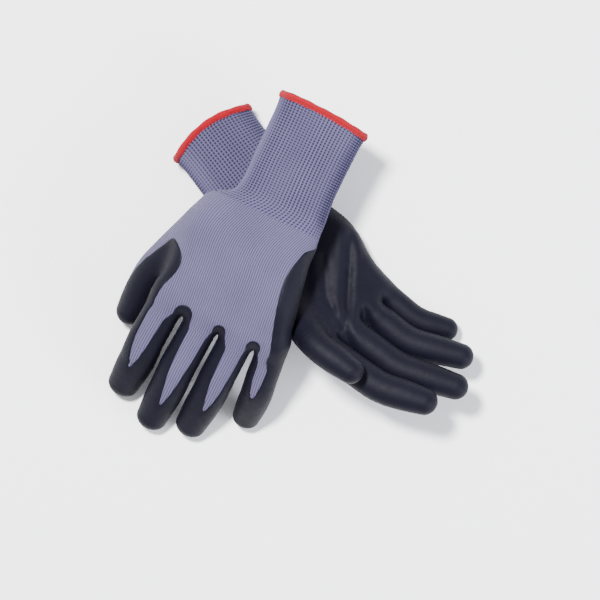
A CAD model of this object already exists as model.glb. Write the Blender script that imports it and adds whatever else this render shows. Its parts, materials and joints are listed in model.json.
import json
from dataclasses import dataclass, field as default
from math import cos, pi, radians, sin

import bpy
import numpy as np
from mathutils import Matrix, Vector


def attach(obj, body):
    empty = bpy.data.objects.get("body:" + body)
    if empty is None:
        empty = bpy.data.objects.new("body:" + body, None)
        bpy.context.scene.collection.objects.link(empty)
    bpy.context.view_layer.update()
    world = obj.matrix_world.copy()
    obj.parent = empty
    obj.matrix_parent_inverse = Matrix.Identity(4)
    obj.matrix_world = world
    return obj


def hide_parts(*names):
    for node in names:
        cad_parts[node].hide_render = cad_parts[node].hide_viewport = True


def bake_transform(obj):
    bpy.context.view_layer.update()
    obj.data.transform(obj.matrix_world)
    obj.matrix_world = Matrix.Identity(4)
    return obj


# A pair of knitted work gloves with a foam coating. Each glove is one smooth closed form, written
# as a distance field from the hinges of the CAD frame. The hand is meshed on a grid, and the cuff
# and the stalls are meshed ring by ring, so that ribs, wales and courses run the way the yarn does.
# Lengths are in millimetres here, and become metres when a mesh is made.

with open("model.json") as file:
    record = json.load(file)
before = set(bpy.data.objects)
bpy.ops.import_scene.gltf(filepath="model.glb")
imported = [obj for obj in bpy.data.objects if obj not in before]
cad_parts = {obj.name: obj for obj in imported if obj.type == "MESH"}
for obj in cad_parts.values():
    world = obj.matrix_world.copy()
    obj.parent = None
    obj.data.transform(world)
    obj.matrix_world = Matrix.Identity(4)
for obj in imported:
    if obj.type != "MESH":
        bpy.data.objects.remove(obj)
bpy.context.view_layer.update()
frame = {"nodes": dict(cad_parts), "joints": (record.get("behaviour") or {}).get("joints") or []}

MM = 0.001
FINGERS = ("thumb", "index", "middle", "ring", "little")
UP = np.array([0.0, 0.0, 1.0])

KNIT_WALL = 1.0
COAT_WALL = 0.6
COAT_EDGE = 1.3  # the coating reaches its full thickness this far from its edge
HAND_GRID = 1.0  # mesh size on the hand
STALL_COLUMNS = 72
STALL_RING = 0.9  # spacing of the rings along a stall
CROTCH_CLEAR = 2.5  # a stall's own mesh starts this far past the end of the hand
WEB_BLEND = 5.0
THUMB_BLEND = 9.0

RIB_COUNT = 62
RIB_SAMPLES = 5
RIB_HEIGHT = 0.5
COURSE_PITCH = 1.75
COURSE_SAMPLES = 4
COURSE_DEPTH = 0.3

BINDING_TURNS = 118  # overlock stitches round one cuff
BINDING_SAMPLES = 6
BINDING_SIDES = 16
BINDING_HALF_HEIGHT = 2.5
BINDING_HALF_WIDTH = 1.5
BINDING_RELIEF = 0.28
BINDING_GIRTH = 9  # how long once round the roll is in its yarn map
BINDING_INSET = 0.55  # how far the roll is set back from the edge, as a share of its half height

ELASTIC_ROWS = 11
ELASTIC_START = 6.4  # the first ring lies this far from the mouth
ELASTIC_PITCH = 6.0
ELASTIC_RADIUS = 0.32
ELASTIC_COLUMNS = 160
ELASTIC_SIDES = 8

CUFF_END = 76.0  # where the ribbing ends and the hand's own mesh begins
MOUTH_HALF_WIDTH = 31.0
RIB_PITCH = 2.4
HAND_CORNER = 0.93  # the hand's corner radius, as a share of its half height
WRIST_EDGE = 77.0  # the palm's coating starts here
THUMB_BARE = 0.88  # half angle of the thumb's bare back
THUMB_START = 4.0  # the thumb's own mesh starts this far before its root hinge
START_MARGIN = 6.0
PATH_MARGIN = 30  # room in the hand's grid round its middle line,
STALL_MARGIN = 16  # round the starts of the stalls
SIDE_MARGIN = 8  # and beyond its widest place
HAND_ROUND = 9.0  # how softly the hand's end is rounded
CROWN = 1.6  # how much the hand thins towards its edges, from one place along it to another
CROWN_FROM, CROWN_TO = 80, 120
BEND_SHARE = 0.92  # how much of the length between a stall's hinges takes part in its bends
KNEE_SHARE = 0.45  # how much of the slack at both ends reaches the bend
COAT_OVERLAP = 0.04  # how far the coating's inner side lies inside the knit
YARN_PERIOD = 300.0  # added where the hand's yarn map meets itself across the palm
WALE_OFFSET = 200  # keeps that map positive

KNIT_LIGHT = (0.090, 0.080, 0.150)
KNIT_DARK = (0.012, 0.0105, 0.031)
COAT_DARK = (0.0016, 0.0015, 0.0040)
COAT_LIGHT = (0.0046, 0.0044, 0.0110)
RED_LIGHT = (0.30, 0.0002, 0.008)
RED_DARK = (0.18, 0.0002, 0.005)
ELASTIC_DARK = (0.3, 0.3, 0.34)
ELASTIC_LIGHT = (0.55, 0.55, 0.6)
SHEEN_TINT = (0.75, 0.75, 0.95, 1)

# The picture, in metres
CAMERA_HEIGHT = 2.4
VIEW_WIDTH = 0.396
VIEW_CENTRE = (-0.00493, 0.00238)
VIEW_UP = (-0.435, 0.900, 0)
SENSOR = 36.0
VIEW_LEVEL = 0.04  # the level that VIEW_WIDTH is measured at
FLOOR_LEVEL = -0.0006
FLOOR_REACH = 3.0
LIGHT_TARGET = (0, 0, 0.03)
KEY_PLACE = (-0.7, 0.32, 2.0)
FILL_PLACE = (1.4, -0.1, 0.8)
FILL_COLOUR = (0.88, 0.9, 1.0)
SKY = (0.93, 0.95, 1.0, 1)
SKY_STRENGTH = 0.8


@dataclass
class Glove:
    """Sections run from the cuff's mouth: how far along, sideways, up, roll, half width, half height."""

    side: str
    mouth: tuple
    heading: float
    back: int  # +1 when the back of the hand is up
    sections: list
    widths: dict  # of the stalls, and their thickness
    reach: dict  # how far a stall's line starts before its root hinge
    base_swell: float  # how much wider the thumb is where it leaves the hand
    thumb_back: tuple  # the way the back of the thumb faces
    thumb_bare_end: float  # how much of the thumb's upper length has a bare back
    bare: dict  # half angle of the bare back of each finger, how far it is turned, and where it ends
    tip_shift: dict  # how the slack tips lie beside their hinges' line
    rim: tuple  # how far the mouth's rim stands out in its middle, by its tilt and all over
    root_shift: dict = default(default_factory=dict)  # how the roots lie beside that line
    bands: tuple = (6.2, 4.4, 4.8)  # coating round each crotch, from the index finger on
    folds: list = default(default_factory=list)


LEFT = Glove(
    side="left",
    mouth=(-43.53, 118.58, 61.04),
    heading=-90,
    back=1,
    sections=[
        (0, 0, 0, 2, 31.4, 14.3),
        (8, 0, 0, 2, 30.1, 14.3),
        (40, 0, 0, 2, 29.8, 14.3),
        (74, -0.4, 0, 2, 32.8, 14.3),
        (96, -7.2, 0.3, 4, 42.4, 14.8),
        (126, -4.7, -1, 8, 46.6, 14.6),
        (158, -3, -9.5, 4, 49.5, 12.2),
    ],
    widths={
        "thumb": (23.6, 20.5),
        "index": (23, 18.8),
        "middle": (22.6, 18.8),
        "ring": (22.2, 18.8),
        "little": (19.8, 17.4),
    },
    reach={"thumb": 40, "index": 22, "middle": 22, "ring": 22, "little": 22},
    base_swell=1.5,
    thumb_back=(-1.0, 0.0, 0.05),
    thumb_bare_end=0.75,
    bare={
        "index": (0.6, -0.2, 11),
        "middle": (0.7, 0.16, 9.5),
        "ring": (0.6, 0.3, 9),
        "little": (0.35, -0.18, 17),
    },
    tip_shift={
        "thumb": (-1.8, -1.2, 0),
        "index": (-3.8, -1.6, 0),
        "middle": (-1.7, -0.9, 0),
        "ring": (-1.6, -0.9, 0),
        "little": (-2.5, -0.9, 0),
    },
    rim=(1.4, 1.2, 0.3),
    root_shift={
        "thumb": (-2.4, 0.8, 0),
        "index": (1.0, 0.5, 0),
        "middle": (2.0, 0.95, 0),
        "ring": (1.4, 0.7, 0),
        "little": (0.6, 0.3, 0),
    },
    folds=[
        ((-18, -22), (-14, -40), 0.7, 4.5),
        ((6, -20), (4, -40), 0.6, 4.5),
        ((-34, 10), (-28, -16), 0.6, 6.0),
        ((-22, 36), (-4, 20), 0.5, 5.0),
    ],
)
RIGHT = Glove(
    side="right",
    mouth=(-105.53, 76.88, 15.34),
    heading=-27.3,
    back=-1,
    sections=[
        (0, 0, 0, 0, 30.6, 14.3),
        (8, 0, 0, 0, 29.3, 14.3),
        (40, 0, 0, 0, 29.0, 14.3),
        (74, 0, 0, 0, 30, 14.3),
        (104.8, 0.5, 3.3, -8, 38.0, 14.2),
        (132, -1.1, 7.2, -17, 37.7, 13.2),
        (156, 0.4, 12.2, -28, 38.0, 11.2),
    ],
    widths={
        "thumb": (18.8, 18),
        "index": (20.0, 18.6),
        "middle": (19, 18.4),
        "ring": (18.7, 18.2),
        "little": (16.6, 16.8),
    },
    reach={"thumb": 30, "index": 20, "middle": 20, "ring": 20, "little": 19},
    base_swell=1.4,
    thumb_back=(0.2, -0.97, -0.1),
    thumb_bare_end=0.15,
    bare={"index": (0.6, 0, 11), "middle": (0.7, 0, 10), "ring": (0.6, 0, 10), "little": (0.5, 0, 12)},
    tip_shift={
        "thumb": (0, 0, 0),
        "index": (0.3, -0.9, 0),
        "middle": (0.5, -1.0, 0),
        "ring": (0, 0, 0),
        "little": (0.3, 0.3, 0),
    },
    rim=(7.0, 0.6, 1.4),
    root_shift={"little": (-1.2, -2.8, 0)},
    folds=[
        ((5.4, 57), (16.5, 32), 1.4, 3.0),
        ((15.5, 34), (29.8, 0), 1.7, 2.9),
        ((-3.6, 35.2), (10.2, 11), 1.2, 3.2),
        ((34.2, 16.5), (44.9, 7.2), 1.1, 2.6),
        ((10.2, 11), (39.6, -9.7), 1.1, 2.8),
        ((44, 26), (52, 20), 0.7, 2.6),
    ],
)


# ---- fields ---------------------------------------------------------------------------------
def unit(v):
    v = np.asarray(v, float)
    return v / np.linalg.norm(v)


def unit_rows(v):
    return v / np.linalg.norm(v, axis=1)[:, None]


def smooth_min(a, b, reach):
    near = np.clip(0.5 + 0.5 * (b - a) / reach, 0, 1)
    return b + (a - b) * near - reach * near * (1 - near)


def smooth_max(a, b, reach):
    return -smooth_min(-a, -b, reach)


def smooth_step(value, low, high):
    t = np.clip((value - low) / (high - low), 0, 1)
    return t * t * (3 - 2 * t)


def hermite(t, knots, values):
    """A smooth curve through the values, flat beyond both ends."""
    knots, values = np.asarray(knots, float), np.asarray(values, float)
    slopes = np.gradient(values, knots)
    t = np.clip(t, knots[0], knots[-1])
    i = np.clip(np.searchsorted(knots, t, side="right") - 1, 0, len(knots) - 2)
    span = knots[i + 1] - knots[i]
    u = (t - knots[i]) / span
    return (
        values[i] * (1 + 2 * u) * (1 - u) ** 2
        + slopes[i] * span * u * (1 - u) ** 2
        + values[i + 1] * u * u * (3 - 2 * u)
        + slopes[i + 1] * span * u * u * (u - 1)
    )


class Hand:
    """The cuff and the hand as one tube."""

    def __init__(self, glove):
        self.mouth = np.array(glove.mouth)
        turn = radians(glove.heading)
        self.ahead = np.array([cos(turn), sin(turn), 0.0])
        self.aside = np.array([-sin(turn), cos(turn), 0.0])
        self.table = np.array(glove.sections, float).T
        self.length = self.table[0][-1]

    def section(self, along):
        return [hermite(along, self.table[0], row) for row in self.table[1:]]

    def local(self, points):
        """How far along the hand, and sideways and upwards in its own rolled section."""
        offset = points - self.mouth
        along = offset @ self.ahead
        shift, lift, roll, half_width, half_height = self.section(along)
        side = offset @ self.aside - shift
        rise = offset[..., 2] - lift
        c, s = np.cos(np.radians(roll)), np.sin(np.radians(roll))
        return along, side * c + rise * s, rise * c - side * s, half_width, half_height

    def point(self, along):
        shift, lift = self.section(along)[:2]
        along = np.asarray(along, float)[..., None]
        return self.mouth + along * self.ahead + shift[..., None] * self.aside + lift[..., None] * UP

    def value(self, points):
        along, side, rise, half_width, half_height = self.local(points)
        corner = half_height * HAND_CORNER
        qx = np.abs(side) - (half_width - corner)
        qy = np.abs(rise) - (half_height - corner)
        ring = np.hypot(np.maximum(qx, 0), np.maximum(qy, 0)) + np.minimum(np.maximum(qx, qy), 0)
        crown = CROWN * (side / half_width) ** 2 * smooth_step(along, CROWN_FROM, CROWN_TO)
        tube = ring - corner + crown
        return smooth_max(tube, along - self.length, HAND_ROUND)


class Stall:
    """A finger or thumb stall: a bent tapering bar along a smooth line."""

    def __init__(self, glove, name):
        joints = {j["name"]: j for j in frame["joints"]}
        root, middle = (joints[f"{glove.side}_{name}_{part}"] for part in ("root", "middle"))
        self.name = name
        self.hinge = np.array(root["pos_m"]) / MM
        self.bend = np.array(middle["pos_m"]) / MM
        self.axis = unit(root["axis"])
        self.lower_way = unit(self.bend - self.hinge)
        slack = np.array(glove.tip_shift[name])
        nodes = frame["nodes"]
        cap = np.array([v.co for v in nodes[f"{glove.side}_{name}_stall_tip"].data.vertices]) / MM
        far = cap[np.argmax(np.linalg.norm(cap - self.bend, axis=1))]
        self.upper_way = unit(far - self.bend)
        self.width, self.height = glove.widths[name]
        tip = far - self.upper_way * self.width * 0.43 + slack
        root_slack = np.array(glove.root_shift.get(name, (0, 0, 0)))
        start = self.hinge - self.lower_way * glove.reach[name] + root_slack
        knee = self.bend + (slack + root_slack) * KNEE_SHARE
        round_bend = 9.0
        before = knee - self.lower_way * round_bend
        after = knee + self.upper_way * round_bend
        u = np.linspace(0, 1, 7)[:, None]
        curve = before * (1 - u) ** 2 + 2 * knee * u * (1 - u) + after * u * u
        self.line = np.vstack([start, (start + before) / 2, curve, (after + tip) / 2, tip])
        steps = np.linalg.norm(np.diff(self.line, axis=0), axis=1)
        self.marks = np.concatenate([[0], np.cumsum(steps)])
        self.length = self.marks[-1]
        self.hinge_mark = glove.reach[name]
        self.bend_mark = self.mark_of(self.bend)
        swell = glove.base_swell if name == "thumb" else 1.0
        belly = self.bend_mark + 0.55 * (self.length - self.bend_mark)
        self.taper = (
            [0, self.hinge_mark, self.bend_mark, belly, self.length],
            [swell, 1 + (swell - 1) * 0.42, 1.02, 0.99, 0.87],
        )

    def mark_of(self, point):
        return self.nearest(np.asarray(point, float)[None])[1][0]

    def nearest(self, points):
        """Distance and mark of the nearest place on the stall's line, and the offset from it."""
        best = np.full(len(points), 1e9)
        mark = np.zeros(len(points))
        offset = np.zeros_like(points)
        for a, b, m in zip(self.line[:-1], self.line[1:], self.marks[:-1]):
            way = b - a
            size = np.linalg.norm(way)
            t = np.clip((points - a) @ way / size**2, 0, 1)
            away = points - a - t[:, None] * way
            distance = np.einsum("ij,ij->i", away, away)
            closer = distance < best
            best = np.where(closer, distance, best)
            mark = np.where(closer, m + t * size, mark)
            offset[closer] = away[closer]
        return np.sqrt(best), mark, offset

    def value(self, points):
        distance, mark, offset = self.nearest(points)
        scale = hermite(mark, *self.taper)
        half_width = self.width / 2 * scale
        half_height = self.height / 2 * scale
        across = offset @ self.axis
        other = np.sqrt(np.maximum(distance**2 - across**2, 0))
        reach = np.hypot(across / half_width, other / half_height)
        return (reach - 1) * (half_width + half_height) / 2

    def place(self, mark):
        """The point on the line at a mark, and the way it runs there."""
        mark = np.atleast_1d(mark)
        point = np.stack([np.interp(mark, self.marks, self.line[:, k]) for k in range(3)], axis=1)
        step = 3.0
        low, high = np.maximum(mark - step, 0), np.minimum(mark + step, self.length)
        ends = [
            np.stack([np.interp(m, self.marks, self.line[:, k]) for k in range(3)], axis=1)
            for m in (low, high)
        ]
        way = ends[1] - ends[0]
        return point, unit_rows(way)


class Form:
    """The whole glove as one field, negative inside."""

    def __init__(self, glove):
        self.glove = glove
        self.hand = Hand(glove)
        self.stalls = {name: Stall(glove, name) for name in FINGERS}

    def value(self, points):
        hand = self.hand.value(points)
        total = hand.copy()
        for name, stall in self.stalls.items():
            lo = stall.line.min(0) - 30
            hi = stall.line.max(0) + 30
            near = np.all((points > lo) & (points < hi), axis=1)
            if near.any():
                reach = THUMB_BLEND if name == "thumb" else WEB_BLEND
                joined = smooth_min(hand[near], stall.value(points[near]), reach)
                total[near] = np.minimum(total[near], joined)
        return total + self.relief(points)

    def relief(self, points):
        """Folds and slack in the cloth: positive sinks the surface."""
        sink = np.zeros(len(points))
        for start, end, depth, width in self.glove.folds:
            start, end = np.array(start, float), np.array(end, float)
            way = end - start
            t = (points[:, :2] - start) @ way / (way @ way)
            off = points[:, :2] - start - np.clip(t, 0, 1)[:, None] * way
            d = np.hypot(off[:, 0], off[:, 1])
            fade = smooth_step(t, -0.25, 0.25) * (1 - smooth_step(t, 0.75, 1.25))
            groove = np.exp(-((d / width) ** 2))
            shoulder = np.exp(-(((d - 2 * width) / width) ** 2))
            sink += depth * fade * (groove - 0.35 * shoulder)
        return sink

    def slope(self, points):
        step = 0.25
        parts = []
        for k in range(3):
            shift = np.zeros(3)
            shift[k] = step
            parts.append(self.value(points + shift) - self.value(points - shift))
        return np.stack(parts, axis=1) / (2 * step)

    def settle(self, points, rounds=3):
        """Points moved onto the surface, with its outward normals there."""
        for _ in range(rounds):
            g = self.slope(points)
            size = np.maximum(np.einsum("ij,ij->i", g, g), 0.04)
            step = np.clip(self.value(points), -0.8, 0.8) / size
            points = points - g * step[:, None]
        g = self.slope(points)
        return points, unit_rows(g)

    def cast(self, origins, ways, low, high, steps=26):
        """Where rays from inside first leave the surface."""
        reach = np.linspace(low, high, steps)
        flat = (origins[:, None] + ways[:, None] * reach[None, :, None]).reshape(-1, 3)
        value = self.value(flat).reshape(len(origins), steps)
        out = value > 0
        out[:, -1] = True
        first = np.maximum(out.argmax(axis=1), 1)
        a, b = reach[first - 1], reach[first]
        for _ in range(12):
            mid = (a + b) / 2
            inside = self.value(origins + ways * mid[:, None]) < 0
            a, b = np.where(inside, mid, a), np.where(inside, b, mid)
        return origins + ways * ((a + b) / 2)[:, None]

    # ---- where the coating lies: positive is coated, in millimetres from its edge ----
    def coated(self, points):
        glove = self.glove
        along, side, rise, half_width, half_height = self.hand.local(points)
        corner = half_height * HAND_CORNER
        inset = np.abs(side) - (half_width - corner)
        lift = rise * glove.back
        turn = np.arctan2(lift, np.maximum(inset, 1e-6))
        inward = np.where(inset > 0, 0, -inset)
        arc = corner * np.where(inset > 0, turn, np.sign(lift) * pi / 2) + np.sign(lift) * inward
        wrap = np.where(
            side > 0,
            hermite(along, *LITTLE_WRAP),
            hermite(along, *INDEX_WRAP),
        )
        total = np.minimum(wrap - arc, along - WRIST_EDGE)
        ways = {name: stall for name, stall in self.stalls.items() if name != "thumb"}
        names = list(ways)
        bands = np.full(len(points), -1e3)
        for a, b, band in zip(names[:-1], names[1:], glove.bands):
            bands = np.maximum(bands, self.crotch_band(points, ways[a], ways[b], band))
        total = smooth_max(total, bands, 2.0)
        for name, stall in self.stalls.items():
            total = self.stall_coating(points, stall, total, bands)
        return total

    def crotch_mark(self, stall):
        """The mark on a stall's line where the hand ends."""
        marks = np.linspace(0, stall.bend_mark, 60)
        along = self.hand.local(stall.place(marks)[0])[0]
        return float(np.interp(self.hand.length, along, marks))

    def crotch_band(self, points, a, b, band):
        marks = [self.crotch_mark(stall) for stall in (a, b)]
        place = [stall.place(mark)[0][0] for stall, mark in zip((a, b), marks)]
        start = (place[0] + place[1]) / 2
        way = unit(a.lower_way + b.lower_way)
        off = points - start
        ahead = np.maximum(off @ way, 0)
        off = off - ahead[:, None] * way
        sideways = off - np.outer(off @ UP, UP)
        return band - np.linalg.norm(sideways, axis=1)

    def stall_coating(self, points, stall, total, bands):
        near = np.all((points > stall.line.min(0) - 26) & (points < stall.line.max(0) + 26), axis=1)
        if not near.any():
            return total
        p = points[near]
        _, mark, offset = stall.nearest(p)
        little_way = stall.axis * self.glove.back
        if stall.name == "thumb":
            back = unit(self.glove.thumb_back)
            start = stall.hinge_mark - 15
            end = stall.bend_mark + (stall.length - stall.bend_mark) * self.glove.thumb_bare_end
            wide = THUMB_BARE
        else:
            wide, aside, before = self.glove.bare[stall.name]
            back = self.glove.back * np.cross(stall.lower_way, little_way)
            back = back * cos(aside) + little_way * sin(aside)
            start = self.crotch_mark(stall)
            end = stall.length - before
        across = np.linalg.norm(offset - np.outer(offset @ back, back), axis=1)
        along_way = offset @ stall.upper_way
        across = np.sqrt(np.maximum(across**2 - along_way**2, 0))
        turn = np.arctan2(across, offset @ back)
        share = np.maximum((mark - start) / (end - start), 0)
        bare = wide * (1 - share**1.8)
        value = (turn - bare) * stall.width / 2
        if stall.name == "thumb":
            value = smooth_min(value, total[near], 12.0)
            own = smooth_step(self.hand.value(p) - stall.value(p), -16, -8)
        else:
            value = smooth_max(value, bands[near], 5.0)
            own = smooth_step(mark, start - 5, start + 7) * smooth_step(4 - stall.value(p), 0, 3)
        total = total.copy()
        total[near] = total[near] * (1 - own) + value * own
        return total


def arc_of(offset, corner=13.4):
    """Distance round the edge of the hand that looks this wide from straight above."""
    return corner * np.arccos(np.clip(1 - np.asarray(offset, float) / corner, -1, 1))


# How far the palm's coating reaches round each edge of the hand, by how far along it is
LITTLE_WRAP = (
    [70, 78, 85, 94, 104, 118, 131, 144, 158],
    [-14, -6, *arc_of([3.5, 8.3, 11.5, 13.2, 12.4, 10.5, 8])],
)
INDEX_WRAP = ([70, 92, 104, 112, 120, 148, 158], [-24, -20, -8, 2, *arc_of([6.5, 6.8, 5])])


# ---- meshes ---------------------------------------------------------------------------------
def surface_net(value, low, high, step):
    """The zero surface of a field on a grid, as points and quads."""
    axes = [np.arange(a, b + step, step) for a, b in zip(low, high)]
    nodes = np.stack(np.meshgrid(*axes, indexing="ij"), axis=-1)
    values = value(nodes.reshape(-1, 3)).reshape(nodes.shape[:3])
    cells = tuple(n - 1 for n in values.shape)
    total, count = np.zeros(cells + (3,)), np.zeros(cells)
    edges = []
    for axis in range(3):
        u, w = (axis + 1) % 3, (axis + 2) % 3
        lower = [slice(None)] * 3
        lower[axis] = slice(0, -1)
        upper = [slice(None)] * 3
        upper[axis] = slice(1, None)
        first, second = values[tuple(lower)], values[tuple(upper)]
        cross = (first < 0) != (second < 0)
        place = nodes[tuple(lower)].copy()
        place[..., axis] += step * np.where(cross, first / np.where(cross, first - second, 1), 0)
        for du in (0, 1):
            for dw in (0, 1):
                part = [slice(None)] * 3
                part[u] = slice(du, values.shape[u] - 1 + du)
                part[w] = slice(dw, values.shape[w] - 1 + dw)
                hit = cross[tuple(part)]
                total += np.where(hit[..., None], place[tuple(part)], 0)
                count += hit
        edges.append((u, w, cross, first < 0))
    index = np.cumsum((count > 0).ravel()).reshape(cells) - 1
    points = total[count > 0] / count[count > 0][:, None]
    quads = []
    for u, w, cross, outwards in edges:
        at = np.argwhere(cross)
        inner = (at[:, u] > 0) & (at[:, w] > 0)
        inner &= (at[:, u] < values.shape[u] - 1) & (at[:, w] < values.shape[w] - 1)
        at = at[inner]
        corners = []
        for du, dw in ((0, 0), (-1, 0), (-1, -1), (0, -1)):
            cell = at.copy()
            cell[:, u] += du
            cell[:, w] += dw
            corners.append(index[tuple(cell.T)])
        quad = np.stack(corners, axis=1)
        away = outwards[tuple(at.T)]
        quads.append(np.where(away[:, None], quad, quad[:, ::-1]))
    return points, np.vstack(quads)


def triangles(quads):
    return np.vstack([quads[:, [0, 1, 2]], quads[:, [0, 2, 3]]])


def cut(data, faces, mark):
    """Keeps the side of a sheet where mark is positive, splitting the faces that it crosses.
    data has one row for each point: its place and whatever else goes with it."""
    positive = mark > 0
    count = positive[faces].sum(axis=1)
    whole = faces[count == 3]
    made = []
    pairs = []
    for lone_is_kept, wanted in ((True, 1), (False, 2)):
        part = faces[count == wanted]
        lone = (positive[part] == lone_is_kept).argmax(axis=1)
        rows = np.arange(len(part))
        a, b, c = (part[rows, (lone + k) % 3] for k in range(3))
        pairs.append((lone_is_kept, a, b, c))
    every = np.vstack([np.stack([a, x], axis=1) for _, a, b, c in pairs for x in (b, c)])
    key = np.sort(every, axis=1)
    unique, where = np.unique(key, axis=0, return_inverse=True)
    where = where.ravel()
    m0, m1 = mark[unique[:, 0]], mark[unique[:, 1]]
    share = (m0 / (m0 - m1))[:, None]
    fresh = data[unique[:, 0]] * (1 - share) + data[unique[:, 1]] * share
    used = 0
    for lone_is_kept, a, b, c in pairs:
        n = len(a)
        ab = len(data) + where[used : used + n]
        ac = len(data) + where[used + n : used + 2 * n]
        used += 2 * n
        if lone_is_kept:
            made.append(np.stack([a, ab, ac], axis=1))
        else:
            made.append(np.stack([ab, b, c], axis=1))
            made.append(np.stack([ab, c, ac], axis=1))
    faces = np.vstack([whole] + made)
    data = np.vstack([data, fresh])
    kept, faces = np.unique(faces, return_inverse=True)
    faces = faces.reshape(-1, 3)
    proper = (faces[:, 0] != faces[:, 1]) & (faces[:, 1] != faces[:, 2]) & (faces[:, 2] != faces[:, 0])
    return data[kept], faces[proper]


def sheet_normals(points, faces):
    a, b, c = (points[faces[:, k]] for k in range(3))
    across = np.cross(b - a, c - a)
    total = np.zeros_like(points)
    for k in range(3):
        np.add.at(total, faces[:, k], across)
    return total / np.maximum(np.linalg.norm(total, axis=1), 1e-9)[:, None]


def rim(faces):
    """The directed edges that only one face has."""
    edges = np.vstack([faces[:, [0, 1]], faces[:, [1, 2]], faces[:, [2, 0]]])
    size = faces.max() + 1
    forward = edges[:, 0] * size + edges[:, 1]
    return edges[~np.isin(forward, edges[:, 1] * size + edges[:, 0])]


def new_piece(name, points, faces, material):
    """A smooth piece in the scene, from points in millimetres."""
    mesh = bpy.data.meshes.new(name)
    mesh.from_pydata((points * MM).tolist(), [], faces.tolist())
    mesh.shade_smooth()
    mesh.materials.append(material)
    piece = bpy.data.objects.new(name, mesh)
    bpy.context.scene.collection.objects.link(piece)
    return piece


def map_yarn(mesh, corners):
    """Gives each corner of each face its place across and along the yarn."""
    layer = mesh.uv_layers.new(name="Yarn")
    layer.data.foreach_set("uv", (corners.reshape(-1, 2) * MM).astype(np.float32).ravel())


def solid_piece(name, outer, inner, faces, normals, uv, period, material):
    """A closed cloth-thick solid from a sheet: its outer side, its inner side and a wall at its rim."""
    count = len(outer)
    open_edges = rim(faces)
    walls = []
    if len(open_edges):
        a, b = open_edges.T
        walls = [np.stack([b, a, a + count], axis=1), np.stack([b, a + count, b + count], axis=1)]
    every = np.vstack([faces, faces[:, ::-1] + count] + walls)
    piece = new_piece(name, np.vstack([outer, inner]), every, material)
    piece.data.normals_split_custom_set_from_vertices(np.vstack([normals, -normals]).tolist())
    corner = np.vstack([uv, uv])[every]
    spread = corner[:, :, 0].max(axis=1) - corner[:, :, 0].min(axis=1)
    wraps = spread > period / 2
    low = corner[:, :, 0] < period / 2
    corner[:, :, 0] += np.where(wraps[:, None] & low, period, 0)
    map_yarn(piece.data, corner)
    return piece


def ring_grid(rows, columns):
    """Quads of a tube of rings: rows of points, each closed on itself."""
    r, c = np.meshgrid(np.arange(rows - 1), np.arange(columns), indexing="ij")
    r, c = r.ravel(), c.ravel()
    d = (c + 1) % columns
    return np.stack([r * columns + c, r * columns + d, (r + 1) * columns + d, (r + 1) * columns + c], axis=1)


def loop_quads(columns, sides):
    """Quads of a closed loop of rings, each with the same number of sides."""
    c, s = np.meshgrid(np.arange(columns), np.arange(sides), indexing="ij")
    c, s = c.ravel(), s.ravel()
    d, t = (c + 1) % columns, (s + 1) % sides
    return np.stack([c * sides + s, d * sides + s, d * sides + t, c * sides + t], axis=1)


# ---- the pieces of one glove ------------------------------------------------------------------
def coat_height(dip):
    return COAT_WALL * np.sqrt(np.clip(dip / COAT_EDGE, 0, 1) * (2 - np.clip(dip / COAT_EDGE, 0, 1)))


def coat_piece(name, data, faces, material, period):
    """The coating on a sheet: data holds place, normal, dip and uv of each point."""
    data, faces = cut(data, faces, data[:, 6])
    points, normals, dip, uv = data[:, :3], data[:, 3:6], data[:, 6], data[:, 7:9]
    normals = unit_rows(normals)
    outer = points + normals * coat_height(dip)[:, None]
    flat = smooth_step(dip, COAT_EDGE * 0.7, COAT_EDGE)[:, None]
    shade = sheet_normals(outer, faces) * (1 - flat) + normals * flat
    shade = unit_rows(shade)
    return solid_piece(name, outer, points - normals * COAT_OVERLAP, faces, shade, uv, period, material)


def section_rays(form, along, columns):
    """Rays out of the middle of the cuff at one place along it."""
    turn = np.linspace(0, 2 * pi, columns, endpoint=False)
    hand = form.hand
    roll, half_width, half_height = hand.section(np.array([along]))[2:]
    flatness = half_width / half_height
    x, y = np.cos(turn), np.sin(turn) / flatness
    c, s = cos(radians(roll[0])), sin(radians(roll[0]))
    ways = np.outer(x * c - y * s, hand.aside) + np.outer(x * s + y * c, UP)
    ways = unit_rows(ways)
    return hand.point([along])[0], ways


def even_ring(form, along, columns):
    """Points spaced evenly round the cuff, and how far round each one is."""
    fine = columns * 2
    origin, ways = section_rays(form, along, fine)
    points = form.cast(np.repeat(origin[None], fine, 0), ways, 8.0, 40.0, 40)
    closed = np.vstack([points, points[:1]])
    length = np.concatenate([[0], np.cumsum(np.linalg.norm(np.diff(closed, axis=0), axis=1))])
    wanted = np.linspace(0, length[-1], columns, endpoint=False)
    ring = np.stack([np.interp(wanted, length, closed[:, k]) for k in range(3)], axis=1)
    return ring, wanted


def mouth_bulge(form, points, along):
    """The mouth's rim isn't straight: it bulges in the middle and is a little askew."""
    bulge, tilt, out = form.glove.rim
    side = np.clip((points - form.hand.mouth) @ form.hand.aside / MOUTH_HALF_WIDTH, -1, 1)
    stands = bulge * np.cos(side * pi / 2) - tilt * side + out
    return points - np.outer(stands * (1 - smooth_step(along, 0, 40)), form.hand.ahead)


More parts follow.
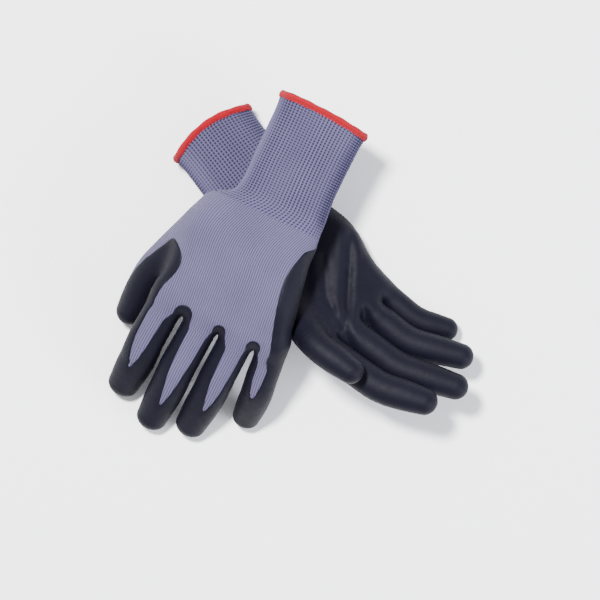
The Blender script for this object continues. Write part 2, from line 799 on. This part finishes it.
def make_cuff(form, materials):
    glove = form.glove
    columns = RIB_COUNT * RIB_SAMPLES
    rows = int(CUFF_END / COURSE_PITCH * COURSE_SAMPLES) + 1
    marks = np.linspace(0, CUFF_END, rows)
    knots = np.linspace(0, CUFF_END, 10)
    rings = np.stack([even_ring(form, mark, columns)[0] for mark in knots])
    grid = np.stack(
        [[hermite(marks, knots, rings[:, c, k]) for k in range(3)] for c in range(columns)]
    ).transpose(2, 0, 1)
    around = even_ring(form, 0, columns)[1]
    points = grid.reshape(-1, 3)
    place = np.repeat(marks, columns)
    points, normals = form.settle(points, 2)
    turn = np.tile(np.arange(columns) / RIB_SAMPLES, rows)
    rib = np.cos(turn * 2 * pi)
    course = np.cos(place / COURSE_PITCH * 2 * pi)
    fade = smooth_step(CUFF_END - place, 1.5, 16)
    pit = np.clip(-rib, 0, 1) * np.clip(-course, 0, 1)
    height = fade * (RIB_HEIGHT * rib - COURSE_DEPTH * pit + 0.1 * course)
    height += fade * 0.5 * np.sin(place / 11.0 + 1.3 * np.sin(turn / 9.0)) * smooth_step(place, 4, 20)
    points = mouth_bulge(form, points, place)
    outer = points + normals * height[:, None]
    inner = points - normals * (KNIT_WALL - 0.5 * height)[:, None]
    faces = triangles(ring_grid(rows, columns))
    if np.mean(np.einsum("ij,ij->i", sheet_normals(outer, faces), normals)) < 0:
        faces = faces[:, ::-1]
    shade = sheet_normals(outer, faces)
    blend = smooth_step(CUFF_END - place, 0, 2.5)[:, None]
    shade = shade * blend + normals * (1 - blend)
    period = around[-1] + around[1]
    uv = np.stack([np.tile(around, rows), place], axis=1)
    cuff = solid_piece(f"{glove.side}_cuff_ribbing", outer, inner, faces, shade, uv, period, materials["rib"])
    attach(cuff, f"{glove.side}_hand")
    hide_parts(f"{glove.side}_cuff_rib")

    edge = grid[0]
    edge, out = form.settle(edge, 2)
    edge = mouth_bulge(form, edge, np.zeros(len(edge)))
    make_binding(form, edge, out, materials["binding"])
    make_elastic(form, materials["elastic"])


def resample_loop(points, values, count):
    closed = np.vstack([points, points[:1]])
    paired = np.vstack([values, values[:1]])
    length = np.concatenate([[0], np.cumsum(np.linalg.norm(np.diff(closed, axis=0), axis=1))])
    wanted = np.linspace(0, length[-1], count, endpoint=False)
    place = np.stack([np.interp(wanted, length, closed[:, k]) for k in range(3)], axis=1)
    value = np.stack([np.interp(wanted, length, paired[:, k]) for k in range(3)], axis=1)
    return place, unit_rows(value), wanted


def make_binding(form, edge, out, material):
    """The overlocked edge: a roll of slanting stitches round the mouth."""
    glove, hand = form.glove, form.hand
    columns = BINDING_TURNS * BINDING_SAMPLES
    place, out, around = resample_loop(edge, out, columns)
    sides = np.linspace(0, 2 * pi, BINDING_SIDES, endpoint=False)
    turn, side = np.meshgrid(np.arange(columns) / BINDING_SAMPLES, sides, indexing="ij")
    stitch = np.abs(np.cos(pi * (turn + side / (2 * pi))))
    swell = BINDING_RELIEF * (stitch - 0.6)
    wobble = 0.15 * np.sin(turn * 0.7) + 0.1 * np.sin(turn * 0.31 + 1)
    across = (BINDING_HALF_WIDTH + swell) * np.cos(side)
    depth = (BINDING_HALF_HEIGHT + swell + wobble) * np.sin(side)
    middle = place - out * KNIT_WALL * 0.5
    points = (
        middle[:, None]
        + across[..., None] * out[:, None]
        - (depth[..., None] - BINDING_HALF_HEIGHT * BINDING_INSET) * hand.ahead
    ).reshape(-1, 3)
    faces = triangles(loop_quads(columns, BINDING_SIDES))
    shade = sheet_normals(points, faces)
    if np.mean(np.einsum("ij,ij->i", shade, points - np.repeat(middle, BINDING_SIDES, 0))) < 0:
        faces, shade = faces[:, ::-1], -shade
    piece = new_piece(f"{glove.side}_overlock", points, faces, material)
    across_yarn = np.repeat(around, BINDING_SIDES)
    uv = np.stack([across_yarn, np.tile(sides / (2 * pi) * BINDING_GIRTH, columns)], axis=1)
    map_yarn(piece.data, uv[faces])
    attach(piece, f"{glove.side}_hand")
    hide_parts(f"{glove.side}_cuff_binding")


def make_elastic(form, material):
    """Covered elastic yarn, laid in rings inside the cuff."""
    glove, hand = form.glove, form.hand
    columns, sides = ELASTIC_COLUMNS, ELASTIC_SIDES
    every, faces = [], []
    for row in range(ELASTIC_ROWS):
        along = ELASTIC_START + row * ELASTIC_PITCH
        ring, _ = even_ring(form, along, columns)
        ring, out = form.settle(ring, 2)
        ring = mouth_bulge(form, ring, np.full(columns, along))
        ring = ring - out * (KNIT_WALL + ELASTIC_RADIUS + RIB_HEIGHT * 0.5)
        turn = np.linspace(0, 2 * pi, sides, endpoint=False)
        tube = (
            ring[:, None]
            + ELASTIC_RADIUS * np.cos(turn)[None, :, None] * out[:, None]
            + ELASTIC_RADIUS * np.sin(turn)[None, :, None] * hand.ahead
        ).reshape(-1, 3)
        faces.append(loop_quads(columns, sides)[:, [0, 3, 2, 1]] + row * columns * sides)
        every.append(tube)
    piece = new_piece(f"{glove.side}_elastic_yarn", np.vstack(every), np.vstack(faces), material)
    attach(piece, f"{glove.side}_hand")
    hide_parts(f"{glove.side}_cuff_elastic")


def stall_start(form, stall):
    """The mark where a stall's own mesh begins."""
    if stall.name == "thumb":
        return stall.hinge_mark - THUMB_START
    return form.crotch_mark(stall) + CROTCH_CLEAR


def hand_uv(form, points):
    """Across the wales and along them, in millimetres."""
    along, side, rise, half_width, half_height = form.hand.local(points)
    corner = half_height * HAND_CORNER
    flat = half_width - corner
    inset = np.abs(side) - flat
    lift = rise * form.glove.back
    turn = np.where(inset > 0, pi / 2 - np.arctan2(lift, np.maximum(inset, 1e-6)), 0)
    arc = np.where(inset > 0, flat + corner * turn, np.abs(side))
    whole = 2 * flat + corner * pi
    arc = np.where((inset <= 0) & (lift < 0), whole - np.abs(side), arc)
    return np.stack([np.sign(side) * arc + WALE_OFFSET, along], axis=1)


def make_hand(form, materials):
    glove, hand = form.glove, form.hand
    starts = [stall.place(stall_start(form, stall) + START_MARGIN)[0] for stall in form.stalls.values()]
    ends = np.vstack([hand.point([CUFF_END])] + starts)
    marks = np.linspace(CUFF_END, hand.length, 8)
    path = hand.point(marks)
    half_width = hand.section(marks)[3]
    wide = np.abs(hand.aside) * half_width.max()
    low = np.minimum(path.min(0) - PATH_MARGIN, ends.min(0) - STALL_MARGIN)
    low = np.minimum(low, path.min(0) - wide - SIDE_MARGIN)
    high = np.maximum(path.max(0) + PATH_MARGIN, ends.max(0) + STALL_MARGIN)
    high = np.maximum(high, path.max(0) + wide + SIDE_MARGIN)
    points, quads = surface_net(form.value, low, high, HAND_GRID)
    points, normals = form.settle(points, 3)
    dip = form.coated(points)
    uv = hand_uv(form, points)
    data = np.hstack([points, normals, dip[:, None], uv])
    faces = triangles(quads)
    along = hand.local(data[:, :3])[0]
    data, faces = cut(data, faces, along - CUFF_END)
    best = np.full(len(data), 1e9)
    past = np.full(len(data), -1e9)
    for stall in form.stalls.values():
        value = stall.value(data[:, :3])
        start = stall.place(stall_start(form, stall))
        ahead = (data[:, :3] - start[0][0]) @ start[1][0]
        near = value < best
        near &= np.linalg.norm(data[:, :3] - start[0][0], axis=1) < 70
        past = np.where(near, ahead, past)
        best = np.where(near, value, best)
    inner = hand.value(data[:, :3])
    past = np.where((best > 6) & (inner < 4), -5.0, past)
    data, faces = cut(data, faces, -past)
    data[:, 3:6] = unit_rows(data[:, 3:6])
    points, normals = data[:, :3], data[:, 3:6]
    name = f"{glove.side}_hand"
    inside = points - normals * KNIT_WALL
    cloth = solid_piece(
        f"{name}_cloth", points, inside, faces, normals, data[:, 7:9], YARN_PERIOD, materials["knit"]
    )
    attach(cloth, name)
    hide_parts(*(f"{glove.side}_{part}_knit" for part in ("back", "palm", "knuckle")))
    coat = coat_piece(f"{glove.side}_palm_foam", data, faces, materials["coating"], YARN_PERIOD)
    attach(coat, name)
    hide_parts(f"{glove.side}_palm_coat")


def stall_rings(form, stall):
    """Origins and ways of the rays that find a stall's rings, their marks, and its tip."""
    start = stall_start(form, stall)
    body = np.linspace(start, stall.length, int((stall.length - start) / STALL_RING) + 2)
    turn = np.linspace(0, 2 * pi, STALL_COLUMNS, endpoint=False)
    base, way = stall.place(body)
    side = stall.axis - way * (way @ stall.axis)[:, None]
    side = unit_rows(side)
    up = np.cross(way, side)
    squash = stall.height / stall.width
    ways = side[:, None] * np.cos(turn)[None, :, None] + squash * up[:, None] * np.sin(turn)[None, :, None]
    origins = np.repeat(base[:, None], STALL_COLUMNS, 1)
    dome = np.linspace(0, pi / 2, 16)[1:-1]
    tip_ways = (
        np.cos(dome)[:, None, None] * ways[-1][None]
        + np.sin(dome)[:, None, None] * way[-1][None, None]
    )
    ways = np.vstack([ways, tip_ways])
    tip_origins = np.tile(base[-1], (len(dome), STALL_COLUMNS, 1))
    origins = np.vstack([origins, tip_origins])
    ways = ways / np.linalg.norm(ways, axis=2)[..., None]
    marks = np.concatenate([body, stall.length + dome * stall.width / 2])
    return origins, ways, marks, base[-1], way[-1]


def make_stall(form, stall, materials):
    glove = form.glove
    prefix = f"{glove.side}_{stall.name}"
    origins, ways, marks, tip, ahead = stall_rings(form, stall)
    rows = len(marks)
    largest = stall.width * 0.98 if stall.name == "thumb" else stall.width * 0.72
    points = form.cast(origins.reshape(-1, 3), ways.reshape(-1, 3), stall.height * 0.3, largest, 30)
    pole = form.cast(tip[None], ahead[None], 3.0, stall.width, 30)
    points = np.vstack([points, pole])
    points, normals = form.settle(points, 1)
    faces = triangles(ring_grid(rows, STALL_COLUMNS))
    last = (rows - 1) * STALL_COLUMNS
    c = np.arange(STALL_COLUMNS)
    pole_index = np.full(STALL_COLUMNS, len(points) - 1)
    fan = np.stack([last + c, last + (c + 1) % STALL_COLUMNS, pole_index], axis=1)
    faces = np.vstack([faces, fan])
    if np.mean(np.einsum("ij,ij->i", sheet_normals(points, faces), normals)) < 0:
        faces = faces[:, ::-1]
    dip = form.coated(points)
    girth = stall.width * pi * 0.92
    u = np.tile(np.arange(STALL_COLUMNS) / STALL_COLUMNS * girth, rows)
    v = np.repeat(marks, STALL_COLUMNS)
    uv = np.stack([np.append(u, girth / 2), np.append(v, marks[-1] + 1)], axis=1)
    data = np.hstack([points, normals, dip[:, None], uv])
    split = (stall.hinge_mark + stall.bend_mark) / 2
    reach = (stall.bend_mark - stall.hinge_mark) / 2 * BEND_SHARE
    lower_reach = min(reach, stall.hinge_mark - stall_start(form, stall) - 0.5)
    hand_body, lower_body, tip_body = (f"{glove.side}_hand", f"{prefix}_lower", f"{prefix}_tip")
    knee_way = unit(stall.lower_way + stall.upper_way)
    here = (data[:, :3] - stall.place(split)[0][0]) @ stall.lower_way
    for part, keep, middle, way, before, bodies in (
        ("lower", -1, stall.hinge, stall.lower_way, lower_reach, (hand_body, lower_body)),
        ("tip", 1, stall.bend, knee_way, reach, (lower_body, tip_body)),
    ):
        half, half_faces = cut(data, faces, keep * here)
        half[:, 3:6] = unit_rows(half[:, 3:6])
        points, normals = half[:, :3], half[:, 3:6]
        inside = points - normals * KNIT_WALL
        uv = half[:, 7:9]
        cloth = solid_piece(
            f"{prefix}_{part}_cloth", points, inside, half_faces, normals, uv, girth, materials["knit"]
        )
        coat = coat_piece(f"{prefix}_{part}_foam", half, half_faces, materials["coating"], girth)
        for piece, node, slot in ((cloth, "stall", "knit"), (coat, "coat", "coating")):
            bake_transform(piece)
            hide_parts(f"{prefix}_{node}_{part}")


# ---- materials --------------------------------------------------------------------------------
class Nodes:
    """A material's nodes."""

    def __init__(self, name):
        self.material = bpy.data.materials.new(name)
        self.material.use_nodes = True
        self.tree = self.material.node_tree
        self.shader = self.tree.nodes["Principled BSDF"]

    def add(self, kind, inputs=(), **settings):
        node = self.tree.nodes.new(kind)
        for key, value in settings.items():
            setattr(node, key, value)
        for key, value in dict(inputs).items():
            if isinstance(value, bpy.types.NodeSocket):
                self.tree.links.new(value, node.inputs[key])
            else:
                node.inputs[key].default_value = value
        return node

    def math(self, operation, a, b=0.0, clamp=False):
        node = self.add("ShaderNodeMath", {0: a, 1: b}, operation=operation, use_clamp=clamp)
        return node.outputs[0]

    def times(self, a, b):
        return self.math("MULTIPLY", a, b)

    def plus(self, a, b, clamp=False):
        return self.math("ADD", a, b, clamp)

    def mix(self, share, a, b):
        node = self.add("ShaderNodeMix", {"Factor": share}, data_type="RGBA")
        for socket, value in (("A", a), ("B", b)):
            target = [s for s in node.inputs if s.name == socket and s.type == "RGBA"][0]
            if isinstance(value, bpy.types.NodeSocket):
                self.tree.links.new(value, target)
            else:
                target.default_value = (*value, 1)
        return [s for s in node.outputs if s.type == "RGBA"][0]

    def noise(self, scale, detail=2.0, roughness=0.5):
        place = self.add("ShaderNodeTexCoord").outputs["Object"]
        inputs = {"Vector": place, "Scale": scale, "Detail": detail, "Roughness": roughness}
        node = self.add("ShaderNodeTexNoise", inputs)
        return node.outputs["Fac"]

    def yarn(self):
        """Across and along the yarn, in millimetres."""
        uv = self.add("ShaderNodeUVMap", uv_map="Yarn").outputs["UV"]
        parts = self.add("ShaderNodeSeparateXYZ", {0: uv}).outputs
        return self.times(parts[0], 1 / MM), self.times(parts[1], 1 / MM)

    def wave(self, value, pitch):
        """From 0 to 1 and back, once each pitch."""
        turn = self.times(value, 2 * pi / pitch)
        return self.half(self.math("COSINE", turn))

    def half(self, value):
        return self.plus(self.times(value, 0.5), 0.5)

    def set(self, **values):
        for key, value in values.items():
            socket = self.shader.inputs[key.replace("_", " ")]
            if isinstance(value, bpy.types.NodeSocket):
                self.tree.links.new(value, socket)
            else:
                socket.default_value = value

    def bump(self, height, distance, strength=1.0):
        node = self.add("ShaderNodeBump", {"Height": height, "Distance": distance, "Strength": strength})
        self.tree.links.new(node.outputs["Normal"], self.shader.inputs["Normal"])


def stitches(n, wale, course):
    """The height of plain knitting: columns of V stitches."""
    u, v = n.yarn()
    column = n.math("FRACT", n.math("DIVIDE", u, wale))
    lean = n.math("ABSOLUTE", n.math("SUBTRACT", column, 0.5))
    arm = n.plus(n.math("DIVIDE", v, course), n.times(lean, 1.3))
    loop = n.half(n.math("SINE", n.times(arm, 2 * pi)))
    ridge = n.math("SINE", n.times(column, pi))
    ridge = n.math("ABSOLUTE", n.math("SINE", n.times(ridge, pi * 0.5)))
    return n.times(n.plus(n.times(loop, 0.3), 0.7), ridge)


def knit_material(name, wale, course, depth):
    n = Nodes(name)
    height = stitches(n, wale, course)
    fuzz = n.noise(900.0, 3.0)
    cloud = n.noise(28.0, 2.0)
    shade = n.plus(n.times(height, 0.85), n.times(cloud, 0.3), clamp=True)
    n.set(
        Base_Color=n.mix(shade, KNIT_DARK, KNIT_LIGHT),
        Roughness=0.88,
        Specular_IOR_Level=0.25,
        Sheen_Weight=0.05,
        Sheen_Roughness=0.5,
        Sheen_Tint=SHEEN_TINT,
    )
    n.bump(n.plus(height, n.times(fuzz, 0.35)), depth)
    return n.material


def rib_material():
    n = Nodes("ribbed_knit")
    u, v = n.yarn()
    fine = n.half(n.math("SINE", n.times(v, 2 * pi / 0.875)))
    rib = n.wave(u, RIB_PITCH)
    course = n.wave(v, COURSE_PITCH)
    pit = n.times(n.math("SUBTRACT", 1.0, rib), n.math("SUBTRACT", 1.0, course))
    cloud = n.noise(30.0, 2.0)
    shade = n.math("SUBTRACT", 0.85, n.times(pit, 0.85))
    shade = n.math("SUBTRACT", shade, n.times(n.math("SUBTRACT", 1.0, rib), 0.25))
    shade = n.plus(shade, n.times(n.math("SUBTRACT", cloud, 0.5), 0.4), clamp=True)
    n.set(
        Base_Color=n.mix(shade, KNIT_DARK, KNIT_LIGHT),
        Roughness=0.9,
        Specular_IOR_Level=0.2,
        Sheen_Weight=0.05,
        Sheen_Roughness=0.5,
        Sheen_Tint=SHEEN_TINT,
    )
    n.bump(n.plus(fine, n.times(n.noise(900.0, 3.0), 0.5)), 0.00012)
    return n.material


def coating_material():
    n = Nodes("foam_nitrile")
    pores = n.noise(1500.0, 2.0, 0.6)
    cloud = n.noise(60.0, 4.0, 0.6)
    soft = n.noise(260.0, 3.0)
    n.set(
        Base_Color=n.mix(n.times(cloud, 0.9), COAT_DARK, COAT_LIGHT),
        Roughness=n.plus(0.5, n.times(soft, 0.16)),
        Specular_IOR_Level=0.10,
    )
    n.bump(n.plus(pores, n.times(soft, 1.2)), 0.00016, 0.8)
    return n.material


def yarn_material(name, dark, light, pitch):
    n = Nodes(name)
    u, v = n.yarn()
    thread = n.half(n.math("SINE", n.times(n.plus(u, v), 2 * pi / pitch)))
    cloud = n.times(n.noise(300.0), 0.6)
    shade = n.plus(n.times(thread, 0.5), cloud, clamp=True)
    n.set(Base_Color=n.mix(shade, dark, light), Roughness=0.75, Specular_IOR_Level=0.15, Sheen_Weight=0.05)
    n.bump(n.plus(thread, n.times(n.noise(1400.0), 0.6)), 0.0001)
    return n.material


def floor_material():
    n = Nodes("pale_floor")
    shade = n.noise(4.0)
    n.set(Base_Color=n.mix(shade, (0.94, 0.94, 0.945), (0.96, 0.96, 0.965)), Roughness=0.9)
    return n.material


# ---- the picture --------------------------------------------------------------------------------
def make_camera():
    up = Vector(VIEW_UP).normalized()
    right = up.cross(Vector((0, 0, 1)))
    turn = Matrix((right, up, Vector((0, 0, 1)))).transposed().to_4x4()
    data = bpy.data.cameras.new("camera")
    data.sensor_width = SENSOR
    data.lens = SENSOR * (CAMERA_HEIGHT - VIEW_LEVEL) / VIEW_WIDTH
    data.clip_end = 20.0
    camera = bpy.data.objects.new("camera", data)
    camera.matrix_world = Matrix.Translation((*VIEW_CENTRE, CAMERA_HEIGHT)) @ turn
    bpy.context.scene.collection.objects.link(camera)
    bpy.context.scene.camera = camera


def make_light(name, place, target, size, power, colour=(1, 1, 1)):
    data = bpy.data.lights.new(name, "AREA")
    data.size = size
    data.energy = power
    data.color = colour
    lamp = bpy.data.objects.new(name, data)
    lamp.location = place
    lamp.rotation_euler = (Vector(target) - Vector(place)).to_track_quat("-Z", "Y").to_euler()
    bpy.context.scene.collection.objects.link(lamp)


def make_stage():
    mesh = bpy.data.meshes.new("floor")
    reach = FLOOR_REACH
    corners = [(-reach, -reach), (reach, -reach), (reach, reach), (-reach, reach)]
    mesh.from_pydata([(x, y, FLOOR_LEVEL) for x, y in corners], [], [(0, 1, 2, 3)])
    mesh.materials.append(floor_material())
    floor = bpy.data.objects.new("floor", mesh)
    bpy.context.scene.collection.objects.link(floor)
    world = bpy.data.worlds.new("studio")
    world.use_nodes = True
    world.node_tree.nodes["Background"].inputs["Color"].default_value = SKY
    world.node_tree.nodes["Background"].inputs["Strength"].default_value = SKY_STRENGTH
    bpy.context.scene.world = world
    make_light("key", KEY_PLACE, LIGHT_TARGET, 0.3, 150)
    make_light("fill", FILL_PLACE, LIGHT_TARGET, 0.8, 36, FILL_COLOUR)


make_camera()
materials = {
    "knit": knit_material("plain_knit", 1.5, 1.05, 0.0005),
    "rib": rib_material(),
    "coating": coating_material(),
    "binding": yarn_material("red_overlock", RED_DARK, RED_LIGHT, 0.5),
    "elastic": yarn_material("elastic_yarn", ELASTIC_DARK, ELASTIC_LIGHT, 0.6),
}
for glove in (LEFT, RIGHT):
    form = Form(glove)
    make_cuff(form, materials)
    make_hand(form, materials)
    for stall in form.stalls.values():
        make_stall(form, stall, materials)
make_stage()
